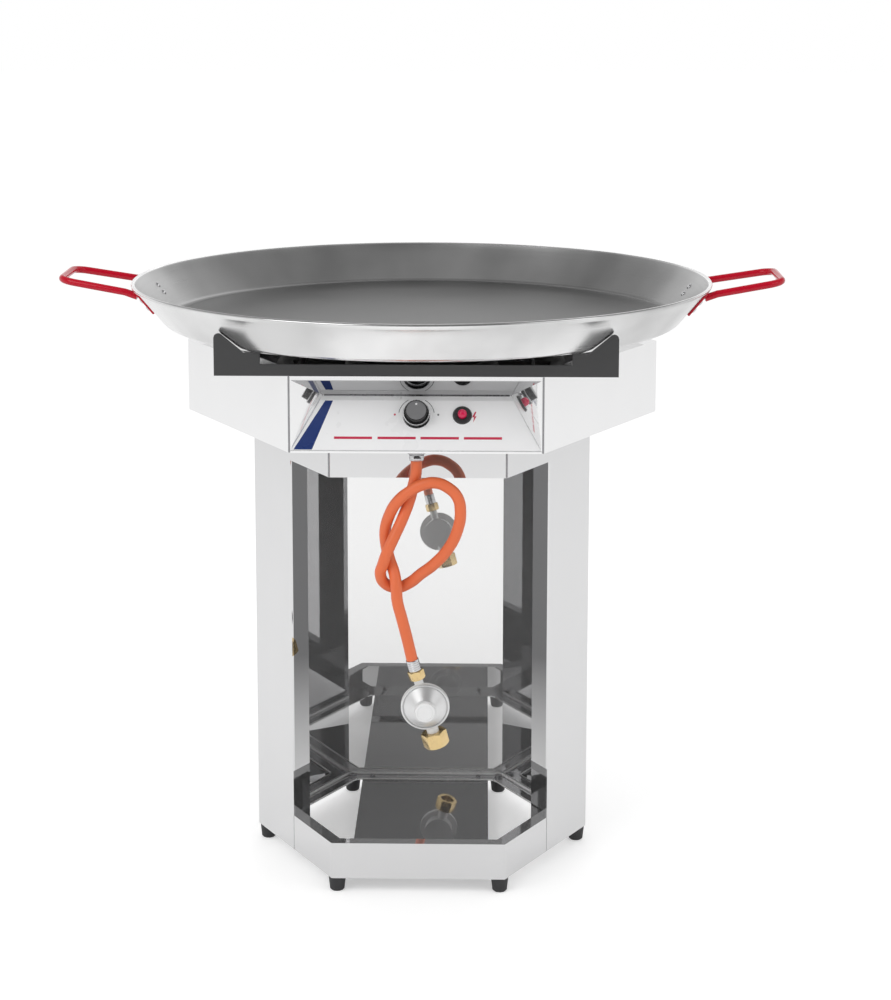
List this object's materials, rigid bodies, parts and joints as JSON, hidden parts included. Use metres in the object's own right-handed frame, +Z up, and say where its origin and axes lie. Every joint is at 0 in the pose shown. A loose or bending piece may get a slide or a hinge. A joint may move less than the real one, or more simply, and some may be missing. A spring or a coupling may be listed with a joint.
{
  "type": "paella burner",
  "caption": "Free-standing gas paella burner: hexagonal steel cabinet with bottle bay, burner box with slanted controls, wide lift-off pan, hanging hose and regulator.",
  "frame": {"origin": "middle of the stand's footprint, on the floor under the feet", "axes": "+X to the right as seen from the controls, +Y to the back, +Z up"},
  "size_m": [0.9938, 0.8, 0.8227],
  "materials": {
    "stand_steel": "mirror polished",
    "box_steel": "mirror polished",
    "foot_rubber": "matt",
    "screw_steel": "bright",
    "label_film": "satin",
    "knob_black": "satin",
    "cap_grey": "satin",
    "button_red": "glossy",
    "brass": "turned",
    "copper": "drawn",
    "ceramic": "glazed",
    "burner_iron": "as cast",
    "support_black": "satin black",
    "hose_orange": "satin",
    "regulator_alloy": "satin",
    "pan_steel": "brushed",
    "handle_red": "glossy red"
  },
  "bodies": {
    "stand": {"lower_front_rail": "stand_steel", "upper_front_rail": "stand_steel", "left_panel": "stand_steel", "right_panel": "stand_steel", "back_panel": "stand_steel", "bottle_shelf": "stand_steel", "burner_box": "box_steel", "box_floor": "box_steel", "recess_hood": "box_steel", "control_fascia": "box_steel", "left_cheek": "box_steel", "right_cheek": "box_steel", "air_shutter": "box_steel", "foot_1": "foot_rubber", "foot_2": "foot_rubber", "foot_3": "foot_rubber", "foot_4": "foot_rubber", "foot_5": "foot_rubber", "foot_6": "foot_rubber", "foot_screws": "screw_steel", "shelf_screws": "screw_steel", "rail_screws": "screw_steel", "box_screws": "screw_steel", "support_screws": "screw_steel", "knob_ring": "screw_steel", "hose_tail": "screw_steel", "hose_ferrule": "screw_steel", "control_label": "label_film", "igniter_bezel": "knob_black", "igniter_body": "knob_black", "ignition_lead": "knob_black", "valve_body": "brass", "inlet_pipe": "brass", "injector": "brass", "hose_nut": "brass", "gas_pipe": "copper", "thermocouple": "copper", "spark_electrode": "ceramic", "mixing_tube": "burner_iron", "burner_manifold": "burner_iron", "outer_burner": "burner_iron", "inner_burner": "burner_iron", "burner_legs": "burner_iron", "front_support": "support_black", "rear_support": "support_black", "left_support": "support_black", "right_support": "support_black", "gas_hose": "hose_orange", "regulator_body": "regulator_alloy", "regulator_cover": "regulator_alloy"},
    "pan": {"pan": "pan_steel", "left_handle": "handle_red", "right_handle": "handle_red", "handle_rivets": "screw_steel"},
    "valve_plug": {"valve_plug": "brass"},
    "knob": {"control_knob": "knob_black", "knob_cap": "cap_grey", "valve_spindle": "screw_steel"},
    "igniter_button": {"igniter_button": "button_red"},
    "coupling_nut": {"coupling_nut": "brass"}
  },
  "joints": [
    {"name": "pan_lift", "type": "slide", "parent": "stand", "child": "pan", "axis": [0, 0, 1], "range_m": [0, 0.15]},
    {"name": "knob_turn", "type": "hinge", "parent": "stand", "child": "valve_plug", "pos_m": [0, -0.25677, 0.67188], "axis": [0, -0.8563, 0.5164], "range_deg": [0, 180]},
    {"name": "knob_push", "type": "slide", "parent": "valve_plug", "child": "knob", "axis": [0, 0.8563, -0.5164], "range_m": [0, 0.003], "stiffness_N_per_m": 800},
    {"name": "igniter_push", "type": "slide", "parent": "stand", "child": "igniter_button", "axis": [0, 0.8563, -0.5164], "range_m": [0, 0.004], "stiffness_N_per_m": 800},
    {"name": "coupling_spin", "type": "hinge", "parent": "stand", "child": "coupling_nut", "pos_m": [0.02128, -0.25324, 0.24617], "axis": [0.2574, 0.1045, -0.9606], "continuous": true}
  ]
}
